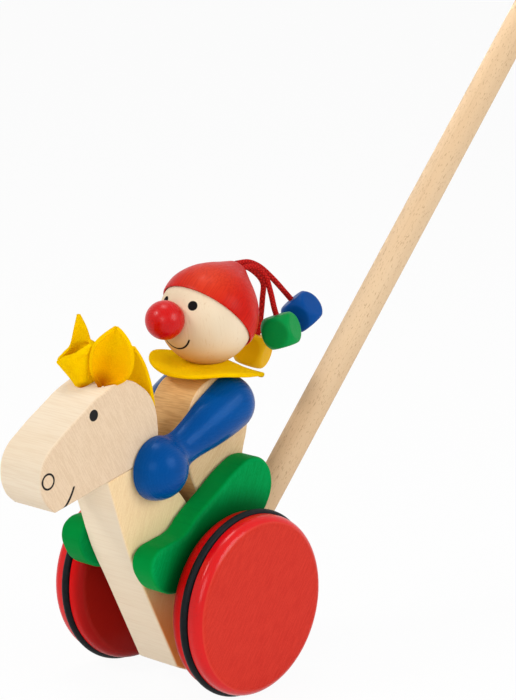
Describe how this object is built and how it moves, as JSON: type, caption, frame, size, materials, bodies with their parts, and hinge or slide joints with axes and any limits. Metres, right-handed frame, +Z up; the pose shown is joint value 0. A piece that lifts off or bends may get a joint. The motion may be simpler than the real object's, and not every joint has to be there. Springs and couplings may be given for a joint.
{
  "type": "push toy",
  "caption": "Wooden horse push toy for a toddler: wheels with rubber rings, a long push stick and a rocking rider with a pointed cap and cords that carry coloured cubes.",
  "frame": {"origin": "on the floor, below the middle of the toy's length and width", "axes": "+Z up, the horse faces -Y, the push stick leans back towards +Y, the axle lies along X"},
  "size_m": [0.0978, 0.5232, 0.4645],
  "materials": {
    "maple": "pale natural wood, fine grain, satin",
    "beech": "natural beech with short brown flecks, satin",
    "red_stain": "red stain with faint grain, satin",
    "green_stain": "green stain with faint grain, satin",
    "blue_stain": "blue stain with faint grain, satin",
    "yellow_stain": "yellow stain, satin",
    "yellow_felt": "thick yellow felt, matt and fuzzy",
    "red_cord": "round red cord, waxed",
    "rubber": "black rubber, matt"
  },
  "bodies": {
    "horse": {"horse_body": "maple", "horse_head": "maple", "head_dowel_front": "beech", "head_dowel_rear": "beech", "left_leg": "green_stain", "right_leg": "green_stain", "leg_dowel": "beech", "hip_pin": "beech", "push_stick": "beech", "mane": "yellow_felt", "left_ear": "yellow_felt", "right_ear": "yellow_felt"},
    "wheelset": {"axle": "beech", "eccentric": "beech", "left_wheel": "red_stain", "right_wheel": "red_stain", "left_tyre": "rubber", "right_tyre": "rubber"},
    "rider": {"torso": "maple", "rocker": "beech", "neck_dowel": "beech", "rider_head": "maple", "nose": "red_stain", "nose_peg": "beech", "cap": "red_stain", "collar": "yellow_felt", "left_arm": "blue_stain", "right_arm": "blue_stain", "shoulder_dowel": "beech"},
    "blue_pendant": {"blue_cord": "red_cord", "blue_cube": "blue_stain"},
    "green_pendant": {"green_cord": "red_cord", "green_cube": "green_stain"},
    "yellow_pendant": {"yellow_cord": "red_cord", "yellow_cube": "yellow_stain"}
  },
  "joints": [
    {"name": "wheel_spin", "type": "hinge", "parent": "horse", "child": "wheelset", "pos_m": [0, -0.15486, 0.045], "axis": [1, 0, 0], "continuous": true},
    {"name": "rider_rock", "type": "hinge", "parent": "horse", "child": "rider", "pos_m": [0, -0.14286, 0.09], "axis": [1, 0, 0], "range_deg": [0, 7]},
    {"name": "blue_cord_swing", "type": "hinge", "parent": "rider", "child": "blue_pendant", "pos_m": [0, -0.11976, 0.19776], "axis": [1, 0, 0], "range_deg": [0, 10]},
    {"name": "green_cord_swing", "type": "hinge", "parent": "rider", "child": "green_pendant", "pos_m": [0.0018, -0.11768, 0.19561], "axis": [1, 0, 0], "range_deg": [0, 10]},
    {"name": "yellow_cord_swing", "type": "hinge", "parent": "rider", "child": "yellow_pendant", "pos_m": [-0.0018, -0.11768, 0.19561], "axis": [1, 0, 0], "range_deg": [0, 10]}
  ]
}
